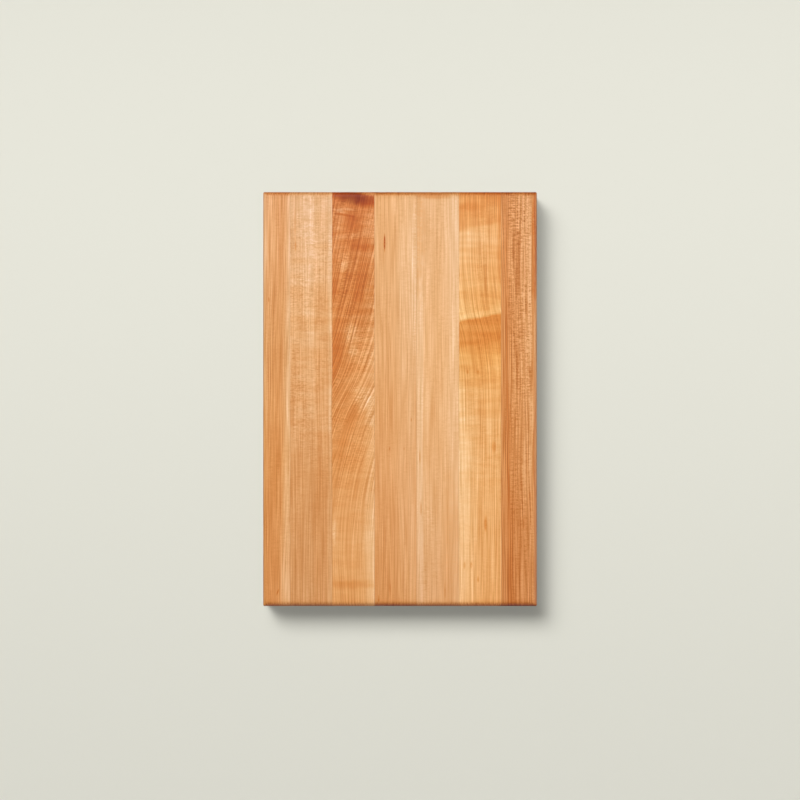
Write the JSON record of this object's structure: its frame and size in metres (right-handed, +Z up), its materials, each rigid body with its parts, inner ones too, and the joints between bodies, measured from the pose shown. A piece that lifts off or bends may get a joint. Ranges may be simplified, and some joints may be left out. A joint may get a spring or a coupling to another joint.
{
  "type": "cutting board",
  "caption": "Rectangular edge-grain hardwood cutting board, glued up from long maple staves, with rounded edges on both faces.",
  "frame": {"origin": "middle of the underside, on the surface that the board rests on", "axes": "+X across the staves, from the narrowest stave towards the other side; +Y along the grain; +Z up, out of the cutting face"},
  "size_m": [0.3048, 0.461, 0.0381],
  "materials": {
    "maple_tan": "satin, oiled",
    "maple_pale": "satin, oiled",
    "maple_heartwood": "satin, oiled",
    "maple_straight": "satin, oiled",
    "maple_cream": "satin, oiled",
    "maple_curly": "satin, oiled",
    "maple_brown": "satin, oiled",
    "cured_wood_glue": "matte"
  },
  "bodies": {
    "root": {"stave_1": "maple_tan", "stave_2": "maple_pale", "stave_3": "maple_heartwood", "stave_4": "maple_straight", "stave_5": "maple_cream", "stave_6": "maple_curly", "stave_7": "maple_brown", "glue_line_1": "cured_wood_glue", "glue_line_2": "cured_wood_glue", "glue_line_3": "cured_wood_glue", "glue_line_4": "cured_wood_glue", "glue_line_5": "cured_wood_glue", "glue_line_6": "cured_wood_glue"}
  },
  "joints": []
}
